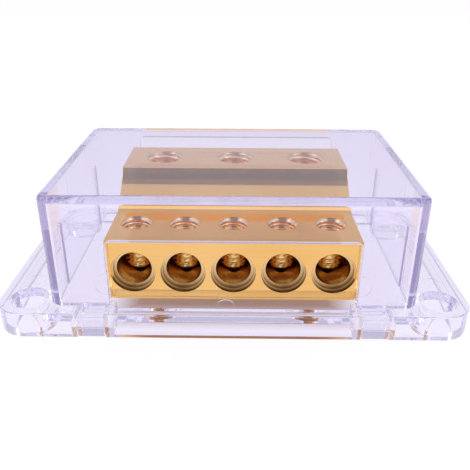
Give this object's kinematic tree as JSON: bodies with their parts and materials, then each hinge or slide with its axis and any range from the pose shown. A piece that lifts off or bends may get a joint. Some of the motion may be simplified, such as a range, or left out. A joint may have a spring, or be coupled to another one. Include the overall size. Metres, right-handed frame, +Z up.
{
  "type": "power distribution block",
  "caption": "Clear-housed power distribution block: a stepped metal bar with screw-clamped cable ports front and back, on a flat base with corner mounting holes under a lift-off cover.",
  "frame": {"origin": "centre of the underside of the base, on the surface it stands on or is screwed to", "axes": "+X along the length of the base, +Y from the small ports in front to the large ports at the back, +Z up out of the mounting surface"},
  "size_m": [0.096, 0.054, 0.0292],
  "materials": {
    "clear_base": "clear moulded plastic, polished, faint lavender tint",
    "clear_cover": "clear moulded plastic, polished, faint lavender tint",
    "plated_brass": "gold-plated, finely brushed faces and bright bores",
    "plated_screw": "gold-plated, bright",
    "brass_screw": "brass-coloured, satin"
  },
  "bodies": {
    "base": {"base": "clear_base", "terminal_bar": "plated_brass", "fixing_screw_left": "brass_screw", "fixing_screw_right": "brass_screw"},
    "cover": {"cover": "clear_cover"},
    "port_screw_1": {"port_screw_1": "plated_screw"},
    "port_screw_2": {"port_screw_2": "plated_screw"},
    "port_screw_3": {"port_screw_3": "plated_screw"},
    "port_screw_4": {"port_screw_4": "plated_screw"},
    "port_screw_5": {"port_screw_5": "plated_screw"},
    "feed_screw_1": {"feed_screw_1": "plated_screw"},
    "feed_screw_2": {"feed_screw_2": "plated_screw"},
    "feed_screw_3": {"feed_screw_3": "plated_screw"}
  },
  "joints": [
    {"name": "cover_lift", "type": "slide", "parent": "base", "child": "cover", "axis": [0, 0, 1], "range_m": [0, 0.03]},
    {"name": "port_screw_1_travel", "type": "slide", "parent": "base", "child": "port_screw_1", "axis": [0, 0, 1], "range_m": [0, 0.007]},
    {"name": "port_screw_2_travel", "type": "slide", "parent": "base", "child": "port_screw_2", "axis": [0, 0, 1], "range_m": [0, 0.007]},
    {"name": "port_screw_3_travel", "type": "slide", "parent": "base", "child": "port_screw_3", "axis": [0, 0, 1], "range_m": [0, 0.007]},
    {"name": "port_screw_4_travel", "type": "slide", "parent": "base", "child": "port_screw_4", "axis": [0, 0, 1], "range_m": [0, 0.007]},
    {"name": "port_screw_5_travel", "type": "slide", "parent": "base", "child": "port_screw_5", "axis": [0, 0, 1], "range_m": [0, 0.007]},
    {"name": "feed_screw_1_travel", "type": "slide", "parent": "base", "child": "feed_screw_1", "axis": [0, 0, 1], "range_m": [0, 0.005]},
    {"name": "feed_screw_2_travel", "type": "slide", "parent": "base", "child": "feed_screw_2", "axis": [0, 0, 1], "range_m": [0, 0.005]},
    {"name": "feed_screw_3_travel", "type": "slide", "parent": "base", "child": "feed_screw_3", "axis": [0, 0, 1], "range_m": [0, 0.005]}
  ]
}
